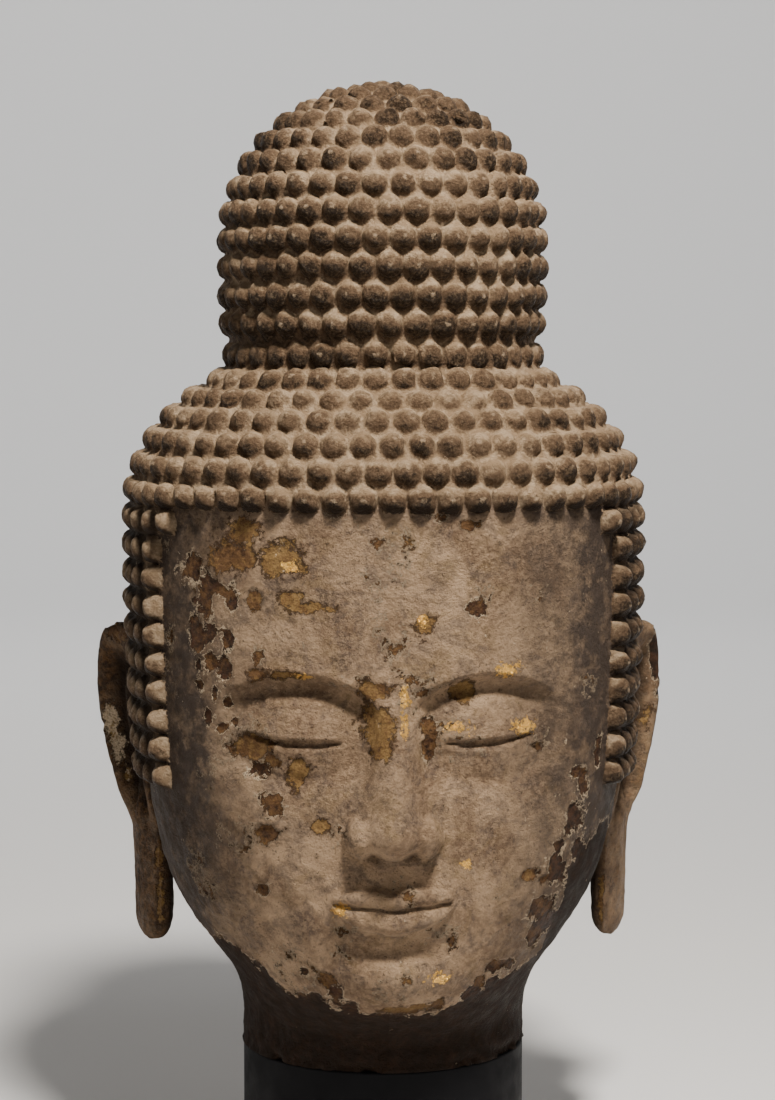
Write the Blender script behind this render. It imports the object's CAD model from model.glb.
# A carved limestone head of the Buddha on a low round post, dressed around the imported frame.
# The stone is modelled in millimetres of the real head and then brought to the frame's metres.

import math

import bpy
import numpy as np
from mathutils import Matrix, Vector
from mathutils.bvhtree import BVHTree
from mathutils.kdtree import KDTree


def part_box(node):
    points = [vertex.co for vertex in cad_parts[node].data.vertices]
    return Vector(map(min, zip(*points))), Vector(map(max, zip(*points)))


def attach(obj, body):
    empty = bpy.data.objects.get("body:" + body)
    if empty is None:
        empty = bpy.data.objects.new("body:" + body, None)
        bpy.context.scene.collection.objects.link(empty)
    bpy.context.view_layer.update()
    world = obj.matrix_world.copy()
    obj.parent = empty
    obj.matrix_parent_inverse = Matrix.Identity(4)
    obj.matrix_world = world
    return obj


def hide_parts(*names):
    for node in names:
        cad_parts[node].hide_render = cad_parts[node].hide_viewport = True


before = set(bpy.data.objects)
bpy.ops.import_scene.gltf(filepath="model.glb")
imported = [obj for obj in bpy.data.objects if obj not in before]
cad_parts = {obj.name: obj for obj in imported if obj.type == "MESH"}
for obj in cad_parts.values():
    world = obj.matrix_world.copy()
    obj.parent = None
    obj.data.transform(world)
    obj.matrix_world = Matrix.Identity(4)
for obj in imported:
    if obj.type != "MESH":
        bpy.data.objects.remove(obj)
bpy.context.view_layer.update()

# The frame gives the height of the cut and the size of one millimetre of the head
HEAD_LOW, HEAD_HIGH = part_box("head")
POST_LOW, POST_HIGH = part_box("display_post")
HEAD_MM = 550
MM = (HEAD_HIGH[2] - HEAD_LOW[2]) / HEAD_MM
NECK_CUT = HEAD_LOW[2] / MM

# Heights above the cut
NECK_STUB = 43
FACE_HEIGHT = 270
CAP_RISE = 76
CROWN_HEIGHT = HEAD_MM - NECK_STUB - FACE_HEIGHT - CAP_RISE
CHIN = NECK_CUT + NECK_STUB
HAIRLINE = CHIN + FACE_HEIGHT
CROWN_FOOT = HAIRLINE + CAP_RISE
CROWN_TOP = CROWN_FOOT + CROWN_HEIGHT
THIRD = FACE_HEIGHT / 3
BROW = CHIN + 2 * THIRD
NOSE_BASE = CHIN + THIRD

# Reaches from the upright axis
HAIR_HALF = 150
HAIR_FRONT = 132
HAIR_BACK = 148
CROWN_RADIUS = 95
CROWN_SETBACK = 5
NECK_RADIUS = 83

# Hair
CURL_PITCH = 15.8
CURL_RELIEF = 6
HAIR_LIFT = 9
HAIR_BURY = 3
NAPE_ROWS = 2
TEMPLE_TURN = math.radians(57)
EAR_TURN = math.radians(108)
DOME_SHARE = 0.56
BEAD_RADIUS = 7.45

# Face, ears and post
SKIN_HALF = HAIR_HALF - HAIR_LIFT
SKIN_FRONT = HAIR_FRONT - HAIR_LIFT
SKIN_BACK = HAIR_BACK - HAIR_LIFT
FIFTH = SKIN_HALF * 0.36
ROUNDNESS = 2.2
EAR_LENGTH = 186
EAR_WIDTH = 46
EAR_THICKNESS = 13
EAR_TOP = CHIN + 0.73 * FACE_HEIGHT
EAR_FLARE = math.radians(30)
EAR_ROOT_LOWEST = CHIN + 0.3 * FACE_HEIGHT
EAR_COLUMNS = 24
EAR_RINGS = 84
POST_EDGE = 1.5

# Camera: level with the lower part of the topknot, looking a little down, a little to the side
CAMERA_DISTANCE = 1545
CAMERA_HEIGHT = NECK_CUT + 417
CAMERA_SIDE = math.radians(2.5)
CAMERA_AIM_LEVEL = 353.5
CAMERA_AIM_SIDE = 2.6
CAMERA_LENS = 88.4

RANDOM_SEED = 7


# Small helpers

def smooth(low, high, value):
    share = np.clip((value - low) / (high - low), 0, 1)
    return share * share * (3 - 2 * share)


def bell(offset, width):
    return np.exp(-(offset / width) ** 2)


def through_rows(rows, level):
    """A smooth curve through rows of [level, value, value, ...], as one array per value."""
    rows = np.array(rows, float)
    level = np.clip(np.asarray(level, float), rows[0, 0], rows[-1, 0])
    knots = rows[:, 0]
    last = len(rows) - 1
    place = np.clip(np.searchsorted(knots, level, side="right") - 1, 0, last - 1)
    slopes = np.empty((len(rows), rows.shape[1] - 1))
    for index in range(len(rows)):
        start = rows[max(0, index - 1)]
        end = rows[min(last, index + 1)]
        slopes[index] = (end[1:] - start[1:]) / (end[0] - start[0])
    span = knots[place + 1] - knots[place]
    share = (level - knots[place]) / span
    values = []
    for column in range(1, rows.shape[1]):
        low = rows[place, column]
        high = rows[place + 1, column]
        rise = (high - low) * (3 - 2 * share) * share ** 2
        leave = slopes[place, column - 1] * span * share * (1 - share) ** 2
        arrive = slopes[place + 1, column - 1] * span * share ** 2 * (share - 1)
        values.append(low + rise + leave + arrive)
    return values


def hashed(cells, seed):
    """A repeatable random number from 0 to 1 for each whole-number cell."""
    mixed = cells[..., 0] * 73856093 ^ cells[..., 1] * 19349663 ^ cells[..., 2] * 83492791
    mixed = (mixed ^ seed * 2654435761) & 0xFFFFFFFF
    mixed = (mixed ^ mixed >> 15) * 2246822519 & 0xFFFFFFFF
    mixed = (mixed ^ mixed >> 13) * 3266489917 & 0xFFFFFFFF
    return ((mixed ^ mixed >> 16) & 0xFFFFFF) / 0xFFFFFF


def value_noise(points, size, seed):
    """Smooth noise from 0 to 1 at points, with lumps of about that size."""
    scaled = np.asarray(points, float) / size
    low = np.floor(scaled).astype(np.int64)
    part = scaled - low
    part = part ** 3 * (part * (part * 6 - 15) + 10)
    total = np.zeros(len(scaled))
    for corner in range(8):
        step = np.array([corner & 1, corner >> 1 & 1, corner >> 2 & 1])
        weight = np.prod(np.where(step, part, 1 - part), axis=1)
        total += weight * hashed(low + step, seed)
    return total


def layered_noise(points, size, seed, layers=4, fall=0.5):
    total = np.zeros(len(points))
    weight = 1.0
    weights = 0.0
    for layer in range(layers):
        total += weight * value_noise(points, size / 2 ** layer, seed + layer)
        weights += weight
        weight *= fall
    return total / weights


# Plan slices of the head. Each is level, half-width, front, back, middle, squareness.
# Shares of the face's height above the chin, and of the skin's half-width, front and back
FACE_ROWS = [
    [0.02, 0.635, 0.93, 0.62],
    [0.09, 0.735, 0.985, 0.66],
    [0.20, 0.86, 1.01, 0.74],
    [0.33, 0.93, 1.02, 0.87],
    [0.45, 0.965, 1.02, 0.965],
    [0.70, 0.99, 1.015, 1],
    [1, 1, 1, 1],
]
SKIN_ROWS = [
    [NECK_CUT, NECK_RADIUS, NECK_RADIUS, NECK_RADIUS],
    [NECK_CUT + 0.45 * NECK_STUB, 0.985 * NECK_RADIUS, 0.985 * NECK_RADIUS, 0.985 * NECK_RADIUS],
    [NECK_CUT + 0.78 * NECK_STUB, 1.01 * NECK_RADIUS, 0.79 * SKIN_FRONT, 1.01 * NECK_RADIUS],
]
for up, half, front, back in FACE_ROWS:
    SKIN_ROWS.append([CHIN + up * FACE_HEIGHT, half * SKIN_HALF, front * SKIN_FRONT, back * SKIN_BACK])
CAP_DOME = 1.35 * CAP_RISE
CAP_FULLNESS = 2.2


def cap_share(level):
    rise = np.clip((level - HAIRLINE + 0.12 * CAP_RISE) / CAP_DOME, 0, 1)
    return (1 - rise ** CAP_FULLNESS) ** (1 / CAP_FULLNESS)


def skin_slice(level):
    half, front, back = through_rows(SKIN_ROWS, level)
    share = cap_share(level)
    above = level > HAIRLINE
    half = np.where(above, np.maximum(1, HAIR_HALF * share - HAIR_LIFT), half)
    front = np.where(above, np.maximum(1, HAIR_FRONT * share - HAIR_LIFT), front)
    back = np.where(above, np.maximum(1, HAIR_BACK * share - HAIR_LIFT), back)
    plan = 2 + (ROUNDNESS - 2) * smooth(CHIN, NOSE_BASE, level)
    return (level, half, front, back, 0, plan)


def side_hair_slice(level):
    skin = skin_slice(level)
    lifted = [float(reach + HAIR_LIFT) for reach in skin[1:4]]
    return (level, *lifted, 0, ROUNDNESS)


def cap_slice(level):
    share = float(cap_share(level))
    return (level, HAIR_HALF * share, HAIR_FRONT * share, HAIR_BACK * share, 0, ROUNDNESS)


def crown_slice(level, radius):
    return (level, radius, radius, radius, CROWN_SETBACK, 2)


def on_slice(ring, turn):
    """Points on a slice, turning from the front over +X to the back."""
    level, half, front, back, middle, plan = ring
    across = np.sin(turn)
    ahead = np.cos(turn)
    x = half * np.sign(across) * np.abs(across) ** (2 / plan)
    reach = np.where(ahead > 0, front, back)
    y = middle - reach * np.sign(ahead) * np.abs(ahead) ** (2 / plan)
    return np.stack(np.broadcast_arrays(x, y, level), axis=-1).astype(float)


def even_turns(ring, count, phase):
    if count == 1:
        return np.zeros(1)
    turns = np.linspace(0, 2 * math.pi, 721)
    points = on_slice(ring, turns)
    lengths = np.append(0, np.cumsum(np.linalg.norm(np.diff(points, axis=0), axis=1)))
    return np.interp((np.arange(count) + phase) / count * lengths[-1], lengths, turns)


def perimeter(ring):
    points = on_slice(ring, np.linspace(0, 2 * math.pi, 181))
    return np.linalg.norm(np.diff(points, axis=0), axis=1).sum()


def even_rows(profile, spacing, lead, trail):
    slices = [profile(share) for share in np.linspace(0, 1, 401)]
    track = np.array([[ring[1], ring[0]] for ring in slices])
    lengths = np.append(0, np.cumsum(np.linalg.norm(np.diff(track, axis=0), axis=1)))
    gaps = round(lengths[-1] / spacing - lead - trail)
    wanted = (np.arange(gaps + 1) + lead) / (gaps + lead + trail) * lengths[-1]
    return [slices[np.argmax(lengths >= place - 1e-9)] for place in wanted]


def crown_profile(share):
    dome = DOME_SHARE * CROWN_HEIGHT
    if share < 0.6:
        tilt = share / 0.6 * math.pi / 2
        return crown_slice(CROWN_TOP - dome * (1 - math.cos(tilt)), CROWN_RADIUS * math.sin(tilt))
    down = (share - 0.6) / 0.4
    level = CROWN_TOP - dome - down * (CROWN_HEIGHT - dome)
    return crown_slice(level, CROWN_RADIUS * (1 - 0.05 * down ** 4))


def cap_profile(share):
    lowest = HAIRLINE + CURL_PITCH / 2
    return cap_slice(lowest + (CROWN_FOOT - lowest) * math.cos(share * math.pi / 2))


# Rows of curls

def curl_rows():
    """Rows from the top of the topknot to the nape: slice, count, phase, least turn, staggered."""
    rows = [(crown_slice(CROWN_TOP, 0), 1, 0, 0, True)]
    for ring in even_rows(crown_profile, CURL_PITCH, 1, 0.5):
        rows.append((ring, round(perimeter(ring) / CURL_PITCH), len(rows) % 2 / 2, 0, True))
    cap_rings = even_rows(cap_profile, CURL_PITCH, 0.45, 0)
    for place, ring in enumerate(cap_rings):
        phase = (len(cap_rings) - 1 - place) % 2 / 2
        rows.append((ring, round(perimeter(ring) / CURL_PITCH), phase, 0, True))
    lowest, count = rows[-1][:2]
    temple_rows = round(0.6 * FACE_HEIGHT / CURL_PITCH)
    for row in range(1, temple_rows + NAPE_ROWS + 2):
        ring = side_hair_slice(lowest[0] - row * CURL_PITCH)
        corner = 2 * math.pi / count if row == 1 else 0
        limit = TEMPLE_TURN - corner if row <= temple_rows else EAR_TURN
        if row > temple_rows + NAPE_ROWS:
            limit = 2 * math.pi
        rows.append((ring, count, 0, limit, False))
    return rows


def join_rings(upper, lower, square):
    """Links between two rings of curls, three-sided where they are staggered, else four-sided."""
    first_high, count_high, phase_high = upper
    first_low, count_low, phase_low = lower
    high = low = 0
    links = []
    while high < count_high or low < count_low:
        slack = (high + 1 + phase_high) / count_high - (low + 1 + phase_low) / count_low
        both = square and high < count_high and low < count_low
        step_high = both or low >= count_low or (high < count_high and slack <= 0)
        step_low = both or not step_high
        link = [first_high + high % count_high, first_low + low % count_low]
        if step_low:
            link.append(first_low + (low + 1) % count_low)
        if step_high:
            link.append(first_high + (high + 1) % count_high)
        link = list(dict.fromkeys(link))
        if len(link) > 2:
            links.append(link)
        high += step_high
        low += step_low
    return links


def hair_layout():
    """Places of all curls, which of them are carved, and the links between neighbours."""
    rows = curl_rows()
    peaks = []
    carved = []
    rings = []
    for ring, count, phase, limit, _ in rows:
        rings.append((len(peaks), count, phase))
        turns = even_turns(ring, count, phase)
        peaks.extend(on_slice(ring, turns))
        carved.extend(np.minimum(turns, 2 * math.pi - turns) >= limit)
    links = []
    for place in range(1, len(rows)):
        square = not rows[place][4]
        links.extend(join_rings(rings[place - 1], rings[place], square))
    return np.array(peaks), np.array(carved), links


# Rings of points on a bead, as shares of its radius, and longest side along its foot. Behind
# REAR_START the beads are plainer
FRONT_RINGS = (0.36, 0.66, 0.87, 0.98)
REAR_RINGS = (0.55, 0.93)
FRONT_STEP = 3.6
REAR_STEP = 5
REAR_START = 5


def bead_height(reach):
    """Height of a bead, 0 to 1, at a share of its radius from its middle."""
    return (1 - np.clip(reach, 0, 1) ** 2.05) ** 0.54


def hair_mesh(peaks, carved, links):
    """The hair as one closed shell of round beads, with a cone to a point deep in the head."""
    generator = np.random.default_rng(RANDOM_SEED)
    corners = np.empty((len(links), 3))
    normals = np.empty((len(links), 3))
    inside = np.empty(len(links), bool)
    sides = {}
    for place, link in enumerate(links):
        around = peaks[link]
        normal = np.cross(around[2] - around[0], around[-1] - around[1])
        normals[place] = normal / np.linalg.norm(normal)
        inside[place] = carved[link].all()
        depth = CURL_RELIEF if inside[place] else HAIR_LIFT + HAIR_BURY
        corners[place] = around.mean(axis=0) - normals[place] * depth
        for step, start in enumerate(link):
            sides[start, link[(step + 1) % len(link)]] = place
    around_curl = {}
    for (start, end), left in sides.items():
        if (end, start) in sides:
            around_curl.setdefault(start, {})[sides[end, start]] = (left, end)

    points = []
    faces = []
    shared = {}

    def corner_point(place):
        if ("corner", place) not in shared:
            shared["corner", place] = len(points)
            points.append(corners[place])
        return shared["corner", place]

    def side_points(right, left):
        """Points along a side between two corners, the first corner included."""
        low, high = min(right, left), max(right, left)
        if (low, high) not in shared:
            longest = REAR_STEP if corners[low][1] > REAR_START else FRONT_STEP
            steps = max(1, round(np.linalg.norm(corners[high] - corners[low]) / longest))
            made = []
            for step in range(1, steps):
                made.append(len(points))
                points.append(corners[low] + (corners[high] - corners[low]) * step / steps)
            shared[low, high] = made
        between = shared[low, high]
        return [corner_point(right)] + (between if right == low else between[::-1])

    open_sides = []
    curl_normals = np.zeros_like(peaks)
    for curl in np.flatnonzero(carved):
        steps = around_curl.get(curl)
        if not steps:
            continue
        rim = []
        right = next(iter(steps))
        normal = np.zeros(3)
        for _ in range(len(steps)):
            left, other = steps[right]
            piece = side_points(right, left)
            rim.extend(piece)
            normal += normals[left]
            if not carved[other]:
                open_sides.append(piece + [corner_point(left)])
            right = left
        normal /= np.linalg.norm(normal)
        curl_normals[curl] = normal
        peak = peaks[curl]
        base = peak - normal * CURL_RELIEF
        size = BEAD_RADIUS * generator.uniform(0.94, 1.03)
        tall = CURL_RELIEF * generator.uniform(0.88, 1.02)
        shift = generator.normal(0, 0.32, 3)
        shift -= normal * shift.dot(normal)
        rim_points = np.array([points[place] for place in rim])
        spokes = rim_points - base
        sunk = spokes @ normal
        flat = spokes - sunk[:, None] * normal
        lengths = np.linalg.norm(flat, axis=1)
        hub = len(points)
        points.append(peak + normal * (tall - CURL_RELIEF) + shift)
        rings = []
        for share in REAR_RINGS if peak[1] > REAR_START else FRONT_RINGS:
            run = np.minimum(share * size, 0.97 * lengths) / lengths
            out = tall * bead_height(run * lengths / size)
            out += sunk * (1 - np.sqrt(1 - run ** 2))
            made = base + flat * run[:, None] + normal * out[:, None]
            made += shift * (1 - share)
            rings.append(range(len(points), len(points) + len(rim)))
            points.extend(made)
        rings.append(rim)
        for step in range(len(rim)):
            after = (step + 1) % len(rim)
            faces.append((hub, rings[0][step], rings[0][after]))
            for inner, outer in zip(rings, rings[1:]):
                faces.append((inner[step], outer[step], outer[after], inner[after]))
    heart = len(points)
    points.append(np.array([0, 0, HAIRLINE - 0.2 * FACE_HEIGHT]))
    for piece in open_sides:
        for start, end in zip(piece, piece[1:]):
            faces.append((heart, end, start))
    return np.array(points), faces, curl_normals


# Face. Its forms are a generic design on thirds of the face's height and fifths of its width

def smooth_max(first, second, blend):
    share = np.clip(0.5 + 0.5 * (first - second) / blend, 0, 1)
    return second + (first - second) * share + blend * share * (1 - share)


def mound(reach, power):
    """A rounded lump from 1 at its middle to 0 where its squared reach is 1."""
    return np.clip(1 - reach, 0, 1) ** power


# Ridge of the nose: level in thirds above the chin, height in millimetres, half-width in fifths
NOSE_ROWS = [
    [0.90, 24.0, 0.34],
    [1.12, 27.5, 0.33],
    [1.28, 25.0, 0.31],
    [1.50, 19.5, 0.28],
    [1.72, 13.5, 0.25],
    [1.90, 8.5, 0.25],
    [2.08, 4.5, 0.33],
    [2.40, 0.0, 0.50],
]


def eye_relief(across, up):
    """Brow edge, hollow, lids and the narrow slit between them."""
    brow = 2.06 - 0.22 * (across - 1) ** 2
    before_temple = 1 - smooth(1.35, 2.0, across)
    beside_nose = smooth(0.14, 0.42, across)
    hollow = smooth(0, 0.10, brow - up) * smooth(1.28, 1.62, up) * beside_nose * before_temple
    out = -9 * hollow
    out += 1.0 * bell(brow - up + 0.012, 0.028) * smooth(0.25, 0.45, across) * before_temple

    lid = np.abs((across - 1) / 0.70) ** 2.2 + np.abs((up - 1.68) / 0.27) ** 2.2
    out += 10.5 * mound(lid, 1.15)
    place = (across - 1) / 0.54
    span = np.clip(1 - place ** 2, 0, 1)
    middle = 1.662 - 0.032 * span + 0.014 * place
    top = middle + 0.030 * span
    bottom = middle - 0.024 * span
    inside = smooth(bottom - 0.004, bottom + 0.010, up) * (1 - smooth(top - 0.010, top + 0.004, up))
    ends = smooth(0, 0.2, span)
    out -= 3.2 * inside * ends
    out += 0.9 * bell(up - top - 0.020, 0.020) * ends
    out += 0.6 * bell(up - bottom + 0.020, 0.020) * ends
    fold = 1.685 + 0.150 * np.clip(1 - ((across - 1) / 0.72) ** 2, 0, 1) ** 0.8
    out -= 1.0 * bell(up - fold, 0.018) * smooth(0, 0.2, 1 - np.abs(across - 1) / 0.70)
    return out


def nose_relief(across, up):
    height, width = through_rows(NOSE_ROWS, up)
    ridge = height * np.exp(-(across / width) ** 2) * smooth(0.96, 1.08, up)
    tip = 29 * mound((across / 0.37) ** 2 + ((up - 1.135) / 0.185) ** 2, 0.62)
    wing = 19 * mound(((across - 0.335) / 0.20) ** 2 + ((up - 1.10) / 0.145) ** 2, 0.6)
    nostril = ((across - 0.19) / 0.085) ** 2 + ((up - 0.985) / 0.03) ** 2
    crease = ((across - 0.50) / 0.05) ** 2 + ((up - 1.13) / 0.13) ** 2
    whole = smooth_max(smooth_max(ridge, tip, 7), wing, 3.5) - 1.5
    return np.maximum(whole, 0) - 4 * np.exp(-nostril) - 1.2 * np.exp(-crease)


def mouth_relief(across, up):
    """Closed lips with a shallow bow, over a low swell of the muzzle."""
    span = np.clip(1 - (across / 0.68) ** 2, 0, 1)
    line = 0.667 + 0.030 * (1 - span) - 0.010 * bell(across, 0.12)
    top_lip = line + 0.125 * span ** 0.75 * (1 - 0.2 * bell(across, 0.1)) + 1e-6
    low_lip = line - 0.155 * span ** 0.65 - 1e-6
    upper = np.clip((up - line) / (top_lip - line), 0, 2)
    lower = np.clip((line - up) / (line - low_lip), 0, 2)
    upper_form = 0.55 + 0.45 * np.sin(np.clip(upper, 0, 1) * 2.2)
    lower_form = 0.5 + 0.5 * np.sin(np.clip(lower, 0, 1) * 2.4)
    upper_form *= 1 - smooth(0.9, 1.12, upper)
    lower_form *= 1 - smooth(0.8, 1.15, lower)
    lips = np.where(up > line, upper_form, lower_form)
    out = 6.6 * span ** 0.35 * lips * smooth(0, 0.12, span)
    out -= 2.6 * bell(up - line, 0.012) * smooth(-0.02, 0.1, span)
    out += 4.5 * bell(across, 0.9) * bell(up - 0.667, 0.3)
    out -= 1.8 * bell(across - 0.74, 0.08) * bell(up - 0.697, 0.08)
    out -= 1.6 * bell(across, 0.07) * bell(up - 0.87, 0.07)
    out -= 3.2 * bell(across, 0.45) * bell(up - 0.40, 0.07)
    return out


def face_relief(x, level):
    """How far the face stands out from the plain skin, in millimetres."""
    across = np.abs(x) / FIFTH
    up = (level - CHIN) / THIRD
    out = eye_relief(across, up) + nose_relief(across, up) + mouth_relief(across, up)
    out += 9 * bell(across, 0.55) * bell(up - 0.2, 0.17)
    out += 2.7 * bell(across - 1.25, 0.6) * bell(up - 1.2, 0.4)
    fold = (across - 0.50) * 0.60 + (up - 1.02) * 0.66
    along = (across - 0.50) * 0.66 - (up - 1.02) * 0.60
    out -= 1.3 * bell(fold, 0.05) * smooth(0, 0.12, along) * (1 - smooth(0.28, 0.5, along))
    return out


def spaced(start, end, step):
    return np.linspace(start, end, max(2, round(abs(end - start) / step) + 1))[:-1]


def core_mesh():
    """Face, jaw, neck and the plain core under the hair, as one loft of level rings."""
    front = math.radians(66)
    dense = math.radians(36)
    fine = spaced(-dense, dense, math.radians(0.68))
    wide = spaced(dense, front, math.radians(1.0))
    back = spaced(front, 2 * math.pi - front, math.radians(5))
    turns = np.concatenate([fine, wide, back, spaced(-front, -dense, math.radians(1.0))])
    levels = np.concatenate([
        spaced(NECK_CUT, CHIN - 0.12 * THIRD, 2.2),
        spaced(CHIN - 0.12 * THIRD, BROW + 0.15 * THIRD, 1.45),
        spaced(BROW + 0.15 * THIRD, HAIRLINE + 2, 2.2),
        spaced(HAIRLINE + 2, HAIRLINE + 0.4 * CAP_RISE, 8),
        [HAIRLINE + 0.4 * CAP_RISE],
    ])
    rings = []
    for level in levels:
        points = on_slice(skin_slice(np.full(len(turns), level)), turns)
        ahead = smooth(0.3, 0.65, np.cos(turns))
        on_face = smooth(CHIN - 0.1 * THIRD, CHIN + 0.1 * THIRD, level)
        points[:, 1] -= face_relief(points[:, 0], level) * ahead * on_face
        rings.append(points)
    return loft(rings)


def loft(rings):
    points = np.concatenate(rings)
    count = len(rings[0])
    faces = []
    for ring in range(len(rings) - 1):
        for place in range(count):
            a = ring * count + place
            b = ring * count + (place + 1) % count
            faces.append((a, b, b + count, a + count))
    top = (len(rings) - 1) * count
    middles = np.array([rings[0].mean(axis=0), rings[-1].mean(axis=0)])
    hub = len(points)
    for place in range(count):
        after = (place + 1) % count
        faces.append((after, place, hub))
        faces.append((top + place, top + after, hub + 1))
    return np.concatenate([points, middles]), faces


# Outline of an ear from its lobe up: share of its length, front edge and rear edge in widths
EAR_ROWS = [
    [0.00, 0.42, 0.46],
    [0.006, 0.31, 0.58],
    [0.02, 0.19, 0.70],
    [0.05, 0.10, 0.78],
    [0.10, 0.06, 0.80],
    [0.25, 0.05, 0.74],
    [0.40, 0.02, 0.72],
    [0.52, 0.00, 0.82],
    [0.65, -0.02, 0.98],
    [0.80, -0.02, 1.02],
    [0.92, 0.04, 0.94],
    [0.98, 0.20, 0.76],
    [1.00, 0.40, 0.58],
]


def ear_relief(share, across):
    """Rolled rim, deep bowl behind its front ridge, and a full lobe, in millimetres."""
    shell = smooth(0.36, 0.47, share)
    rim = bell(across - 1.0, 0.13) * smooth(0.33, 0.5, share) + smooth(0.90, 0.97, share)
    front = bell(across - 0.08, 0.13) * shell * (1 - smooth(0.85, 0.93, share))
    bowl = smooth(0.16, 0.34, across) * (1 - smooth(0.72, 0.90, across))
    bowl *= shell * (1 - smooth(0.84, 0.93, share))
    inner = bell(across - 0.60, 0.10) * smooth(0.55, 0.68, share) * (1 - smooth(0.78, 0.88, share))
    knob = bell(across - 0.62, 0.22) * bell(share - 0.45, 0.06)
    lobe = (1 - shell) * bell(across - 0.5, 0.42)
    return 4.5 * np.minimum(rim, 1) + 2.5 * front - 8.5 * bowl + 5 * inner + 6 * knob + 3.5 * lobe


def ear_root(level, share):
    """How far out an ear joins the skin. The lobe sinks in a little and keeps the jaw's upper width."""
    root = skin_slice(np.maximum(level, EAR_ROOT_LOWEST))[1]
    return root - 0.3 * EAR_THICKNESS * (1 - smooth(0, 0.5, share))


def ear_mesh(side):
    rings = []
    across = np.linspace(0, 1, EAR_COLUMNS)
    for row in range(EAR_RINGS + 1):
        share = 0.5 - 0.5 * math.cos(math.pi * row / EAR_RINGS)
        front_edge, rear_edge = through_rows(EAR_ROWS, share)
        level = EAR_TOP - EAR_LENGTH * (1 - share)
        root = ear_root(level, share)
        run = (front_edge + (rear_edge - front_edge) * across) * EAR_WIDTH
        end = max(1 - share / 0.07, 1 - (1 - share) / 0.04, 0)
        thin = math.sqrt(max(0.0, 1 - end ** 2))
        out = ear_relief(share, across) * thin
        edge = np.sin(math.pi * across) ** 0.5
        behind = -EAR_THICKNESS * (0.45 + 0.55 * edge)
        behind *= (0.5 + 0.5 * math.sin(math.pi * share) ** 0.4) * thin
        face = ear_points(side, root, level, run, out)
        rear = ear_points(side, root, level, run, behind)[::-1]
        ring = np.concatenate([face, rear])
        rings.append(ring if side > 0 else ring[::-1])
    return loft(rings)


def ear_points(side, root, level, run, out):
    x = root + run * math.sin(EAR_FLARE) + out * math.cos(EAR_FLARE)
    y = run * math.cos(EAR_FLARE) - out * math.sin(EAR_FLARE)
    return np.stack([side * x, y, np.full(len(run), level)], axis=-1)


# Building objects

def mesh_object(name, points, faces):
    mesh = bpy.data.meshes.new(name)
    mesh.from_pydata((np.asarray(points) * MM).tolist(), [], faces)
    mesh.update()
    piece = bpy.data.objects.new(name, mesh)
    bpy.context.scene.collection.objects.link(piece)
    return piece


def unite(piece, others):
    """Joins the other closed meshes into the piece and deletes them."""
    for other in others:
        cut = piece.modifiers.new("join", "BOOLEAN")
        cut.operation = "UNION"
        cut.solver = "MANIFOLD"
        cut.object = other
    bpy.context.view_layer.update()
    evaluated = piece.evaluated_get(bpy.context.evaluated_depsgraph_get())
    joined = bpy.data.meshes.new_from_object(evaluated)
    piece.modifiers.clear()
    piece.data = joined
    for other in others:
        bpy.data.objects.remove(other)


# Worn patches of the crust on the skin, seen from the front: across, level, half-width,
# half-height in millimetres, and tone from 0, dark red-brown, to 1, ochre

WORN_PATCHES = [
    (-78, 373, 8, 8, 0.75), (-91, 359, 9, 8, 0.6), (-80, 358, 10, 6, 0.65),
    (-60, 358, 11, 9, 1.0), (-107, 352, 5, 8, 0.30), (-99, 336, 4, 13, 0.28),
    (-94, 341, 7, 4, 0.30), (-86, 336, 4, 7, 0.28), (-74, 338, 4, 7, 0.5),
    (-54, 338, 8, 4, 0.9), (-44, 333, 11, 3, 0.9), (-106, 316, 3, 8, 0.22),
    (-104, 314, 4, 9, 0.28), (-97, 317, 3, 5, 0.24), (-88, 313, 4, 5, 0.26),
    (-97, 301, 4, 6, 0.30), (-103, 288, 3, 5, 0.2), (-95, 285, 2, 5, 0.24),
    (-88, 280, 3, 3, 0.3), (-99, 272, 2, 5, 0.2), (-91, 266, 3, 3, 0.3),
    (-84, 270, 2, 3, 0.3), (-104, 300, 2, 4, 0.15), (-90, 298, 4, 7, 0.24),
    (-72, 305, 3, 4, 0.4), (-73, 297, 6, 4, 0.6), (-58, 296, 7, 3, 0.8),
    (-10, 290, 8, 5, 0.7), (-9, 272, 8, 12, 0.9), (-7, 259, 6, 6, 0.8),
    (-75, 257, 9, 7, 0.6), (-64, 250, 5, 4, 0.5), (-70, 245, 7, 6, 0.3),
    (-52, 245, 5, 8, 0.9), (-65, 227, 6, 6, 0.4), (-66, 210, 7, 6, 0.5),
    (-39, 217, 4, 4, 0.9), (-70, 180, 4, 4, 0.4), (-35, 131, 4, 5, 0.6),
    (-31, 121, 4, 7, 0.2), (-22, 112, 5, 6, 0.1), (-48, 134, 3, 3, 0.2),
    (8, 113, 15, 4, 0.8), (25, 115, 4, 5, 0.7), (44, 118, 6, 5, 0.1),
    (56, 121, 4, 6, 0.1), (48, 127, 3, 4, 0.5), (58, 135, 6, 3, 0.4),
    (66, 134, 3, 4, 0.3), (74, 186, 5, 3, 0.5), (84, 181, 3, 3, 0.5),
    (82, 165, 7, 7, 0.35), (88, 155, 9, 7, 0.1), (80, 148, 4, 9, 0.3),
    (92, 186, 5, 9, 0.05), (92, 200, 3, 3, 0.2), (101, 215, 6, 9, 0.05),
    (106, 231, 3, 7, 0.2), (102, 239, 4, 3, 0.3), (105, 194, 5, 8, 0.0),
    (115, 247, 2, 8, 0.1), (40, 377, 5, 3, 0.5), (17, 325, 6, 5, 0.8),
    (19, 262, 4, 12, 0.4), (37, 287, 7, 5, 0.9), (44, 332, 5, 4, 0.2),
]
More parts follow.
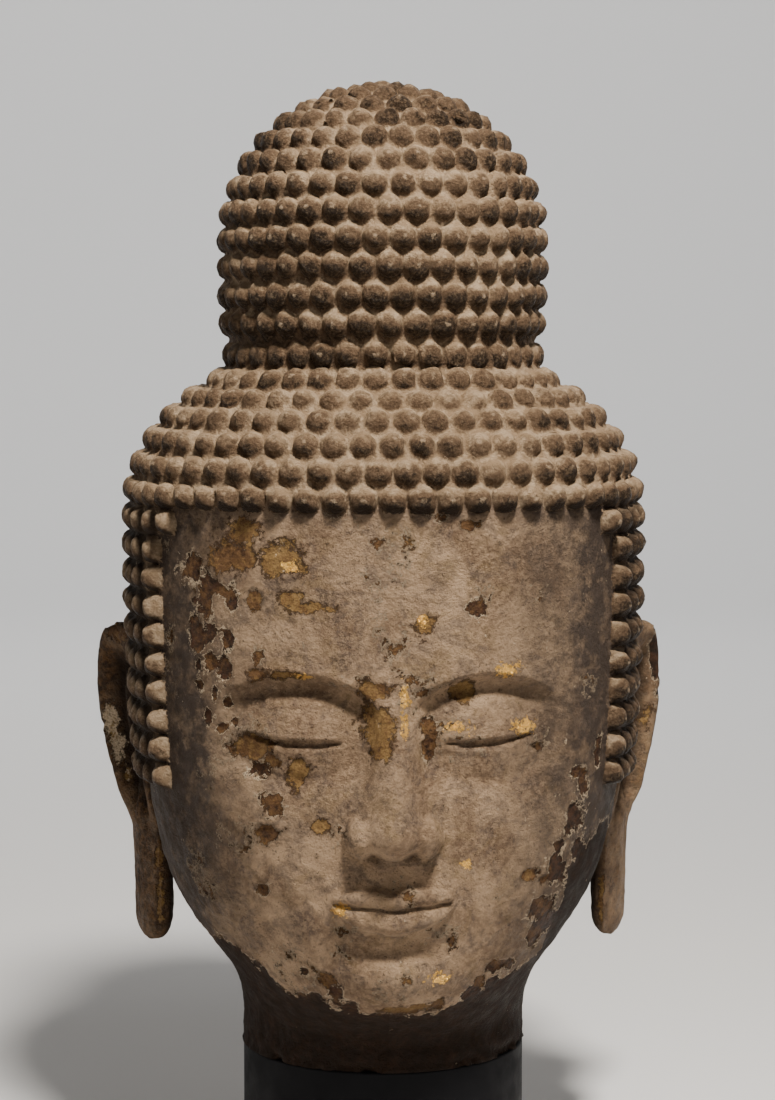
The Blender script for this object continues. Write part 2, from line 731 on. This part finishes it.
# The same on the ears
EAR_PATCHES = [
    (-157, 252, 6, 9, 1.5), (-153, 236, 6, 10, 1.5), (-147, 222, 4, 8, 1.3),
    (-152, 305, 7, 5, 0.5), (-130, 176, 2, 6, 0.8), (-129, 150, 3, 17, 0.95),
    (127, 150, 2, 16, 0.75), (158, 252, 4, 6, 0.9), (165, 288, 5, 20, 0.0),
]
# Flecks of gold leaf that stayed on
GOLD_SPOTS = [
    (25, 133, 6, 4), (62, 299, 6, 4), (70, 267, 6, 4), (-28, 172, 4, 4),
    (6, 286, 3, 7), (6, 272, 2, 9), (-47, 296, 6, 2), (-55, 355, 4, 3),
    (34, 269, 8, 3), (16, 326, 3, 3), (40, 195, 3, 3),
]
# Lower edge of the crust: across and level, seen from the front
CRUST_EDGE = [
    [-141, 158], [-100, 150], [-76, 137], [-66, 129], [-56, 118], [-40, 120],
    [-29, 113], [0, 109], [26, 110], [42, 116], [58, 123], [72, 130],
    [85, 138], [93, 158], [101, 188], [114, 202], [128, 205], [141, 190],
]
CRUST_DEPTH = 0.75
# exp(-HALVING) is one half, at a patch's edge
HALVING = 0.693
# A vertex this near a shell is on it, and beyond the limit it is merely far
TOUCHING = 0.02
GAP_LIMIT = 14


def patch_field(points, patches, rearmost=-20):
    """Greatest closeness to any patch, 1 at its middle, 0.5 at its edge, and that patch's place."""
    best = np.zeros(len(points))
    owner = np.zeros(len(points), int)
    ahead = points[:, 1] < rearmost
    for place, patch in enumerate(patches):
        across, up = (points[:, 0] - patch[0]) / patch[2], (points[:, 2] - patch[1]) / patch[3]
        reach = across ** 2 + up ** 2
        close = np.exp(-HALVING * reach) * ahead
        nearer = close > best
        best[nearer] = close[nearer]
        owner[nearer] = place
    return best, owner


def gap_to(points, shell_points, shell_faces):
    """Distance from each point to a shell, no more than GAP_LIMIT."""
    tree = BVHTree.FromPolygons(shell_points.tolist(), shell_faces)
    gaps = [tree.find_nearest(point, GAP_LIMIT)[3] for point in points.tolist()]
    return np.array([GAP_LIMIT if gap is None else gap for gap in gaps])


def curl_fields(points, on_hair, peaks, carved, curl_normals):
    """For each vertex of the hair: height on its bead, place across it with the bead's own lot, and
    how far the bead stands behind another, seen from the front."""
    places = np.flatnonzero(carved)
    tree = KDTree(len(places))
    for place, curl in enumerate(places):
        tree.insert(peaks[curl], place)
    tree.balance()
    nearest = places[[tree.find(point)[1] for point in points.tolist()]]
    offset = points - peaks[nearest]
    normals = curl_normals[nearest]
    height = (offset * normals).sum(axis=1) + CURL_RELIEF
    flat = offset - normals * (height - CURL_RELIEF)[:, None]
    side = np.cross([0, 0, 1], normals)
    side /= np.maximum(1e-6, np.linalg.norm(side, axis=1))[:, None]
    rise = np.cross(normals, side)
    lot = np.random.default_rng(RANDOM_SEED + 1).uniform(0, 1, len(peaks))[nearest]
    temple = smooth(HAIRLINE + 12, HAIRLINE - 25, points[:, 2]) * smooth(60, 0, points[:, 1])
    lot = lot - np.where(points[:, 0] < 0, 0.9, -0.6) * temple
    lot += 0.8 * smooth(CROWN_TOP - 60, CROWN_TOP - 15, points[:, 2])
    place = np.stack([(flat * side).sum(axis=1), (flat * rise).sum(axis=1)], axis=1) / BEAD_RADIUS
    behind = 1 - 0.75 * first_in_row(peaks, carved)[nearest]
    return np.clip(height / CURL_RELIEF, 0, 1.1) * on_hair, np.column_stack([place, lot]), behind


def first_in_row(peaks, carved):
    """1 for the curls that stand next to the face in the rows on the temples, 0 for all others."""
    first = np.zeros(len(peaks))
    for curl in np.flatnonzero(carved & (peaks[:, 2] < HAIRLINE + CURL_PITCH / 3)):
        offset = peaks[carved] - peaks[curl]
        same_row = np.abs(offset[:, 2]) < CURL_PITCH / 8
        before = (offset[:, 1] < -1) & (np.linalg.norm(offset, axis=1) < 1.6 * CURL_PITCH)
        first[curl] = not (same_row & before).any()
    return first


def ear_depth(points):
    """How far points on an ear lie in front of its plate, in millimetres."""
    share = 1 - (EAR_TOP - points[:, 2]) / EAR_LENGTH
    beyond = np.abs(points[:, 0]) - ear_root(points[:, 2], share)
    return beyond * math.cos(EAR_FLARE) - points[:, 1] * math.sin(EAR_FLARE)


def stone_fields(points, hair_shell, ear_shells, curls):
    """What the finish needs to know at each vertex of the head."""
    hair_gap = gap_to(points, *hair_shell)
    hair = (hair_gap < TOUCHING).astype(float)
    ear_gap = np.minimum(*[gap_to(points, *shell) for shell in ear_shells])
    ear = (ear_gap < TOUCHING) * (1 - hair)
    depth = ear_depth(points)
    hollow = ear * smooth(0.5, -5, depth) * (depth > -10.5)
    bead_height, bead_place, behind = curl_fields(points, hair, *curls)

    lit_ear = ear * smooth(-9, 2, depth)
    close, owner = patch_field(points, WORN_PATCHES)
    ear_close, ear_owner = patch_field(points, EAR_PATCHES, 60)
    ear_close *= lit_ear
    ragged = layered_noise(points, 8, 11, 4, 0.62) - 0.5
    scattered = smooth(0.55, 0.80, value_noise(points, 26, 31)) * 0.36 * (1 - ear)
    edge = through_rows(CRUST_EDGE, points[:, 0])[0]
    beside = smooth(-90, -10, points[:, 1])
    edge = edge + beside * (60 * (layered_noise(points, 55, 91, 4, 0.6) - 0.5) - 8)
    below = smooth(-9, 9, edge - points[:, 2]) * (1 - ear)
    loss = np.maximum.reduce([close * (1 - ear), ear_close, scattered, below]) + 1.15 * ragged
    loss = np.where(hair > 0, -1, loss)
    tones = np.array([patch[4] for patch in WORN_PATCHES])
    tone = np.where(close > scattered, tones[owner], 0.45) * (1 - smooth(0.2, 0.8, below))
    tone = np.where(ear > 0, np.array([patch[4] for patch in EAR_PATCHES])[ear_owner], tone)
    gold = patch_field(points, GOLD_SPOTS)[0] + 0.9 * (layered_noise(points, 4, 41, 3) - 0.5)
    beside_face = smooth(HAIRLINE + 10, HAIRLINE - 8, points[:, 2]) * smooth(60, -10, points[:, 1])
    lower = 1 - 0.3 * smooth(250, 330, points[:, 2])
    grimy = np.maximum(smooth(46, 92, points[:, 0]) * 0.9, smooth(60, 108, -points[:, 0]) * lower)
    grimy += 0.6 * smooth(92, 118, np.abs(points[:, 0]))
    return {
        "hair": hair,
        "ear": ear * np.where(points[:, 0] < 0, 1.0, 0.62),
        "hollow": hollow,
        "grimy": grimy * (1 - hair) * (1 - ear),
        "near_hair": np.exp(-hair_gap / 3.5) * (1 - hair),
        "temple": hair * behind * beside_face,
        "bead_height": bead_height,
        "bead_place": bead_place,
        "loss": loss,
        "tone": tone,
        "gold": gold * (1 - hair) * (1 - ear),
        "low": below,
    }


def vertex_array(mesh, name):
    values = np.empty(len(mesh.vertices) * 3)
    source = mesh.vertices if name == "co" else mesh.vertex_normals
    source.foreach_get("co" if name == "co" else "vector", values)
    return values.reshape(-1, 3)


def weather(points, normals, fields):
    """Moves the surface: worn patches lie lower, their rims curl up a little, all is uneven."""
    skin = 1 - fields["hair"]
    worn = smooth(0.47, 0.55, fields["loss"])
    rim = bell(fields["loss"] - 0.43, 0.07)
    out = skin * (0.35 * rim - CRUST_DEPTH * worn)
    out += skin * 1.4 * (layered_noise(points, 38, 51, 3) - 0.5)
    out += 0.9 * (layered_noise(points, 7, 61, 3) - 0.5)
    out += 0.7 * (layered_noise(points, 3.4, 65, 2) - 0.5)
    out += fields["hair"] * 1.3 * (layered_noise(points, 6, 71, 2) - 0.5)
    nub = bell(np.linalg.norm(fields["bead_place"][:, :2], axis=1), 0.26)
    out += fields["hair"] * 0.5 * nub * fields["bead_place"][:, 2]
    above_cut = smooth(NECK_CUT + 0.2, NECK_CUT + 3, points[:, 2])
    moved = points + normals * (out * above_cut)[:, None]
    near_cut = 1 - smooth(0, 9, points[:, 2] - NECK_CUT)
    broken = smooth(0.42, 0.75, layered_noise(points, 14, 81, 4, 0.6))
    moved[:, :2] *= 1 - (near_cut * (0.012 + 0.05 * broken))[:, None]
    return moved


def store(mesh, name, values):
    kind = "FLOAT_VECTOR" if values.ndim == 2 else "FLOAT"
    layer = mesh.attributes.new(name, kind, "POINT")
    layer.data.foreach_set("vector" if values.ndim == 2 else "value", values.ravel().astype(np.float32))


def make_head():
    peaks, carved, links = hair_layout()
    hair_points, hair_faces, curl_normals = hair_mesh(peaks, carved, links)
    head = mesh_object("carved_head", *core_mesh())
    hair = mesh_object("hair_shell", hair_points, hair_faces)
    ear_shells = [ear_mesh(side) for side in (1, -1)]
    unite(head, [hair] + [mesh_object("ear_shell", *shell) for shell in ear_shells])
    mesh = head.data
    points = vertex_array(mesh, "co") / MM
    fields = stone_fields(points, (hair_points, hair_faces), ear_shells, (peaks, carved, curl_normals))
    points = weather(points, vertex_array(mesh, "normals"), fields)
    mesh.vertices.foreach_set("co", (points * MM).ravel())
    for name, values in fields.items():
        store(mesh, name, values)
    mesh.update()
    mesh.shade_smooth()
    mesh.materials.clear()
    mesh.materials.append(stone_material())
    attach(head, "root")
    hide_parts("head")
    return head


def round_ring(reach, level, turns):
    return np.stack([reach * np.cos(turns), reach * np.sin(turns), np.full(len(turns), level)], axis=-1)


def make_post():
    """The round post, smooth, with small rounded edges, as wide and high as the frame's own."""
    radius = POST_HIGH[0] / MM
    top = POST_HIGH[2] / MM
    profile = [(0, 0)]
    for height, turn in ((POST_EDGE, -1), (top - POST_EDGE, 1)):
        for step in range(7):
            tilt = step / 6 * math.pi / 2
            swing = tilt if turn > 0 else math.pi / 2 - tilt
            reach = radius - POST_EDGE + POST_EDGE * math.cos(swing)
            profile.append((reach, height + turn * POST_EDGE * math.sin(swing)))
    profile.append((0, top))
    turns = np.linspace(0, 2 * math.pi, 161)[:-1]
    post = mesh_object("round_post", *loft([round_ring(*place, turns) for place in profile[1:-1]]))
    post.data.shade_smooth()
    post.data.materials.append(post_material())
    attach(post, "root")
    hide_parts("display_post")


# Materials. Each is a chain of small steps, so a few helpers keep them readable

class Graph:
    """A material's nodes, made and joined by name."""

    def __init__(self, name):
        self.material = bpy.data.materials.new(name)
        self.material.use_nodes = True
        self.tree = self.material.node_tree
        self.shader = self.tree.nodes["Principled BSDF"]
        self.coordinates = self.tree.nodes.new("ShaderNodeTexCoord").outputs["Object"]

    def link(self, value, socket):
        if isinstance(value, bpy.types.NodeSocket):
            self.tree.links.new(value, socket)
        else:
            socket.default_value = value

    def shade(self, name, value):
        """Sets or joins one of the shader's sockets."""
        self.link(value, self.shader.inputs[name])

    def field(self, name, output="Fac"):
        node = self.tree.nodes.new("ShaderNodeAttribute")
        node.attribute_name = name
        return node.outputs[output]

    def math(self, operation, first, second=0.0, third=0.0):
        node = self.tree.nodes.new("ShaderNodeMath")
        node.operation = operation
        for socket, value in zip(node.inputs, (first, second, third)):
            self.link(value, socket)
        return node.outputs[0]

    def scaled(self, value, factor, offset):
        return self.math("MULTIPLY_ADD", value, factor, offset)

    def times(self, first, second):
        return self.math("MULTIPLY", first, second)

    def plus(self, first, second):
        return self.math("ADD", first, second)

    def minus(self, first, second):
        return self.math("SUBTRACT", first, second)

    def noise(self, size_mm, detail=4, roughness=0.55, distortion=0.0):
        node = self.tree.nodes.new("ShaderNodeTexNoise")
        node.inputs["Scale"].default_value = 1 / (size_mm * MM)
        node.inputs["Detail"].default_value = detail
        node.inputs["Roughness"].default_value = roughness
        node.inputs["Distortion"].default_value = distortion
        self.link(self.coordinates, node.inputs["Vector"])
        return node.outputs["Fac"]

    def step(self, value, low, high, to_low=0.0, to_high=1.0):
        node = self.tree.nodes.new("ShaderNodeMapRange")
        node.interpolation_type = "SMOOTHSTEP"
        limits = {"From Min": low, "From Max": high, "To Min": to_low, "To Max": to_high}
        for name, number in limits.items():
            node.inputs[name].default_value = number
        self.link(value, node.inputs["Value"])
        return node.outputs["Result"]

    def mix(self, share, first, second):
        node = self.tree.nodes.new("ShaderNodeMix")
        node.data_type = "RGBA"
        self.link(share, node.inputs[0])
        self.link(first, node.inputs[6])
        self.link(second, node.inputs[7])
        return node.outputs[2]

    def tint(self, base, colour, share, strength):
        """The base with that colour over it, by a share times a strength."""
        return self.mix(self.times(share, strength), base, colour)

    def bump(self, height, distance_mm, strength, normal=None):
        node = self.tree.nodes.new("ShaderNodeBump")
        node.inputs["Distance"].default_value = distance_mm * MM
        node.inputs["Strength"].default_value = strength
        self.link(height, node.inputs["Height"])
        if normal is not None:
            self.link(normal, node.inputs["Normal"])
        return node.outputs["Normal"]


# Colours of the crust, of what lies bare under it, and of the hair
TAUPE = (0.150, 0.094, 0.056, 1)
CREAM = (0.375, 0.256, 0.158, 1)
MAUVE = (0.088, 0.064, 0.052, 1)
SOOT = (0.050, 0.035, 0.026, 1)
OLIVE = (0.150, 0.098, 0.046, 1)
SPECK = (0.030, 0.017, 0.010, 1)
DARK_BROWN = (0.018, 0.011, 0.007, 1)
RED_BROWN = (0.062, 0.028, 0.014, 1)
TAN_BROWN = (0.125, 0.064, 0.026, 1)
OCHRE = (0.200, 0.115, 0.042, 1)
YELLOW_OCHRE = (0.27, 0.165, 0.062, 1)
OUTLINE = (0.045, 0.022, 0.010, 1)
PALE_RIM = (0.56, 0.44, 0.30, 1)
DUST = (0.26, 0.176, 0.104, 1)
PALE_DUST = (0.40, 0.295, 0.190, 1)
BEAD_BROWN = (0.022, 0.013, 0.007, 1)
BEAD_TAUPE = (0.105, 0.064, 0.036, 1)
GOLD = (0.80, 0.47, 0.13, 1)


def stone_material():
    """Skin and hair in one material, told apart by the fields on the vertices."""
    graph = Graph("lacquered_stone")
    skin, crust_height = skin_colour(graph)
    hair, coil, dark_bead = hair_colour(graph)
    is_hair = graph.step(graph.field("hair"), 0.3, 0.7)
    colour = graph.mix(is_hair, skin, hair)
    leaf = graph.scaled(graph.noise(2.2, 5, 0.75), 3.4, -1.7)
    leaf = graph.times(leaf, graph.step(graph.field("gold"), 0.15, 0.4))
    leaf = graph.plus(graph.field("gold"), leaf)
    gold = graph.step(leaf, 0.56, 0.60)
    colour = graph.mix(gold, colour, GOLD)
    graph.shade("Base Color", colour)
    graph.shade("Metallic", graph.times(gold, 0.92))
    rough = graph.step(graph.noise(9, 5, 0.6), 0.3, 0.7, 0.50, 0.78)
    rough = graph.plus(rough, graph.times(graph.field("low"), 0.2))
    rough = graph.minus(rough, graph.times(dark_bead, 0.16))
    rough = graph.minus(rough, graph.times(gold, 0.25))
    graph.shade("Roughness", rough)
    graph.shade("Specular IOR Level", 0.13)
    crinkle = graph.times(gold, graph.noise(1.4, 3, 0.6))
    height = graph.plus(crust_height, graph.times(coil, is_hair))
    height = graph.plus(height, graph.times(crinkle, 1.6))
    normal = graph.bump(height, 1.1, 1.0)
    fine_grain = graph.times(graph.noise(1.1, 4, 0.65), 0.3)
    grain = graph.plus(graph.noise(4.5, 6, 0.68), fine_grain)
    normal = graph.bump(grain, 4.5, 1.0, normal)
    graph.shade("Normal", normal)
    return graph.material


def skin_colour(graph):
    """Mottled dusty crust, the ears' browns, and the worn patches with their rims."""
    broad = graph.step(graph.noise(46, 5, 0.62, 0.8), 0.38, 0.60)
    cloud = graph.step(graph.noise(15, 7, 0.72, 0.7), 0.47, 0.60)
    olive = graph.step(graph.noise(24, 6, 0.66, 1.0), 0.50, 0.66)
    fine = graph.step(graph.noise(3.4, 6, 0.80), 0.42, 0.62)
    pits = graph.step(graph.noise(2.1, 5, 0.75, 0.4), 0.57, 0.66)
    dense = graph.step(graph.noise(30, 4, 0.6), 0.40, 0.62, 0.25, 1.0)
    speck = graph.step(graph.noise(1.5, 3, 0.6), 0.64, 0.70)
    base = graph.mix(broad, TAUPE, CREAM)
    base = graph.tint(base, OLIVE, olive, 0.62)
    base = graph.tint(base, MAUVE, cloud, 0.62)
    base = graph.tint(base, CREAM, fine, 0.55)
    base = graph.mix(graph.times(graph.times(pits, dense), 0.70), base, SPECK)
    base = graph.tint(base, SPECK, speck, 0.75)
    base = graph.tint(base, MAUVE, graph.field("near_hair"), 0.6)
    grime = graph.step(graph.noise(13, 7, 0.74), 0.36, 0.64, 0.45, 0.95)
    base = graph.tint(base, SOOT, graph.field("grimy"), grime)
    ear_brown = graph.step(graph.noise(12, 7, 0.7), 0.38, 0.60, 0.95, 0.65)
    ear_tint = graph.mix(graph.step(graph.noise(4, 6, 0.7), 0.4, 0.62), SPECK, TAN_BROWN)
    base = graph.tint(base, ear_tint, graph.field("ear"), ear_brown)
    base = graph.tint(base, DARK_BROWN, graph.field("hollow"), 0.9)

    ragged = graph.scaled(graph.noise(3.2, 6, 0.74), 1.5, -0.75)
    loss = graph.plus(graph.field("loss"), ragged)
    worn = graph.step(loss, 0.50, 0.52)
    rim = graph.minus(graph.step(loss, 0.385, 0.42), worn)
    under = graph.minus(worn, graph.step(loss, 0.55, 0.64))
    tone = graph.scaled(graph.noise(7, 7, 0.78), 2.6, -1.3)
    tone = graph.plus(graph.field("tone"), tone)
    dark = graph.mix(graph.step(graph.noise(4, 6, 0.7), 0.38, 0.62), RED_BROWN, DARK_BROWN)
    bare = graph.mix(graph.step(tone, 0.15, 0.50), dark, TAN_BROWN)
    bare = graph.mix(graph.step(tone, 0.55, 0.80), bare, OCHRE)
    bare = graph.mix(graph.times(graph.step(tone, 0.85, 1.1), 0.7), bare, YELLOW_OCHRE)
    bare = graph.mix(graph.step(tone, 1.20, 1.45), bare, PALE_RIM)
    flecks = graph.step(graph.noise(1.9, 5, 0.75), 0.50, 0.62)
    bare = graph.tint(bare, RED_BROWN, flecks, 0.5)
    low_mix = graph.step(graph.noise(11, 7, 0.72), 0.36, 0.62, 0.70, 0.96)
    bare = graph.tint(bare, DARK_BROWN, graph.field("low"), low_mix)
    broken = graph.step(graph.noise(6, 5, 0.65), 0.40, 0.50)
    dark_patch = graph.step(graph.field("tone"), 0.3, 0.6)
    outline = graph.mix(dark_patch, PALE_RIM, OUTLINE)
    colour = graph.mix(graph.times(rim, graph.times(broken, 0.85)), base, outline)
    colour = graph.mix(worn, colour, bare)
    colour = graph.tint(colour, DARK_BROWN, under, 0.7)
    height = graph.plus(graph.times(worn, -1), graph.times(rim, 0.35))
    return colour, height


def hair_colour(graph):
    """Beads dark where they stand out and face down, dust between them, and traces of a coil."""
    height = graph.field("bead_height")
    place = graph.tree.nodes.new("ShaderNodeSeparateXYZ")
    graph.link(graph.field("bead_place", "Vector"), place.inputs[0])
    across, up, lot = place.outputs
    split = graph.tree.nodes.new("ShaderNodeSeparateXYZ")
    graph.link(graph.tree.nodes.new("ShaderNodeNewGeometry").outputs["Normal"], split.inputs[0])
    upward = split.outputs["Z"]
    facing_up = graph.times(upward, -0.74)
    grime = graph.scaled(graph.noise(4.5, 7, 0.72), 1.8, -0.9)
    cover = graph.scaled(height, 0.55, facing_up)
    cover = graph.plus(cover, grime)
    cover = graph.plus(cover, graph.scaled(lot, 0.45, -0.15))
    cover = graph.plus(cover, graph.scaled(graph.noise(50, 3), 1.0, -0.5))
    taupe = graph.step(cover, -0.28, 0.30)
    dark = graph.step(cover, 0.30, 0.78)
    dust = graph.mix(graph.step(graph.noise(7, 6, 0.7), 0.42, 0.62), DUST, PALE_DUST)
    colour = graph.mix(taupe, dust, BEAD_TAUPE)
    colour = graph.mix(dark, colour, BEAD_BROWN)
    fine = graph.step(graph.noise(1.6, 6, 0.74), 0.46, 0.66)
    colour = graph.tint(colour, DUST, fine, 0.4)
    angle = graph.math("ARCTAN2", up, across)
    squares = [graph.math("POWER", run, 2.0) for run in (across, up)]
    reach = graph.math("SQRT", graph.plus(*squares))
    temple = graph.field("temple")
    valley = graph.times(graph.step(height, 0.38, 0.86, 1.0, 0.0), temple)
    below = graph.step(upward, -0.75, -0.25, 1.0, 0.0)
    below = graph.times(below, graph.step(temple, 0.03, 0.2))
    gap = graph.math("MAXIMUM", valley, below)
    colour = graph.tint(colour, DARK_BROWN, gap, 0.9)
    tip = graph.scaled(graph.noise(2.4, 4, 0.7), 0.9, graph.plus(reach, -0.45))
    tip = graph.step(tip, 0.08, 0.24, 0.6, 0.0)
    rubbed = graph.times(tip, graph.step(graph.noise(11, 4), 0.46, 0.56))
    colour = graph.mix(rubbed, colour, PALE_DUST)
    coil = graph.math("SINE", graph.minus(graph.times(reach, 13.0), angle))
    coil = graph.times(coil, graph.step(reach, 0.4, 0.7, 0.25, 0.0))
    return colour, graph.times(coil, lot), dark


def post_material():
    graph = Graph("satin_black")
    graph.shade("Base Color", (0.007, 0.007, 0.008, 1))
    graph.shade("Specular IOR Level", 0.07)
    rough = graph.step(graph.noise(14, 5, 0.6), 0.3, 0.7, 0.50, 0.70)
    graph.shade("Roughness", rough)
    graph.shade("Normal", graph.bump(graph.noise(0.8, 3), 0.05, 0.3))
    return graph.material


def make_camera():
    camera = bpy.data.objects.new("camera", bpy.data.cameras.new("camera"))
    side = math.sin(CAMERA_SIDE)
    ahead = math.cos(CAMERA_SIDE)
    camera.location = Vector((-side * CAMERA_DISTANCE, -ahead * CAMERA_DISTANCE, CAMERA_HEIGHT)) * MM
    aim = Vector((CAMERA_AIM_SIDE * ahead, -CAMERA_AIM_SIDE * side, CAMERA_AIM_LEVEL)) * MM
    camera.rotation_euler = (aim - camera.location).to_track_quat("-Z", "Y").to_euler()
    camera.data.lens = CAMERA_LENS
    camera.data.sensor_width = 36
    bpy.context.scene.collection.objects.link(camera)
    bpy.context.scene.camera = camera


def area_light(name, place, aim, size, power, colour):
    lamp = bpy.data.lights.new(name, "AREA")
    lamp.shape = "DISK"
    lamp.size = size
    lamp.energy = power
    lamp.color = colour
    light = bpy.data.objects.new(name, lamp)
    light.location = place
    light.rotation_euler = (Vector(aim) - light.location).to_track_quat("-Z", "Y").to_euler()
    light.visible_camera = False
    bpy.context.scene.collection.objects.link(light)


def make_lights():
    middle = (0, 0, 0.36)
    area_light("key", (0.26, -0.86, 1.76), middle, 0.30, 72, (1, 0.95, 0.88))
    area_light("fill", (1.6, -1.6, 0.9), middle, 1.6, 1.5, (0.92, 0.95, 1))
    area_light("top", (0.1, 0.6, 1.9), middle, 0.9, 4, (1, 0.96, 0.9))
    area_light("backdrop", (0, 1.6, 2.6), (0, 4.4, 1.2), 1.5, 80, (0.96, 0.98, 1))
    world = bpy.data.worlds.new("studio")
    world.use_nodes = True
    world.node_tree.nodes["Background"].inputs["Color"].default_value = (0.85, 0.87, 0.9, 1)
    world.node_tree.nodes["Background"].inputs["Strength"].default_value = 0.09
    bpy.context.scene.world = world


def make_stage():
    """A pale floor that curves up into a pale wall all around."""
    flat = 3.0
    bend = 1.5
    track = [(1.0, 0), (2.0, 0)]
    for step in range(13):
        tilt = step / 12 * math.pi / 2
        track.append((flat + bend * math.sin(tilt), bend * (1 - math.cos(tilt))))
    track.append((flat + bend, 5))
    count = 96
    turns = np.linspace(0, 2 * math.pi, count + 1)[:-1]
    rings = [round_ring(reach, level, turns) for reach, level in track]
    faces = [tuple(range(count))]
    for ring in range(len(rings) - 1):
        for place in range(count):
            a = ring * count + place
            b = ring * count + (place + 1) % count
            faces.append((a, a + count, b + count, b))
    stage = mesh_object("floor", np.concatenate(rings) / MM, faces)
    stage.data.shade_smooth()
    graph = Graph("pale_floor")
    graph.shade("Base Color", (0.70, 0.69, 0.68, 1))
    graph.shade("Roughness", 0.85)
    stage.data.materials.append(graph.material)


make_camera()
make_lights()
make_stage()
make_post()
head = make_head()
print("head triangles", sum(len(face.vertices) - 2 for face in head.data.polygons))
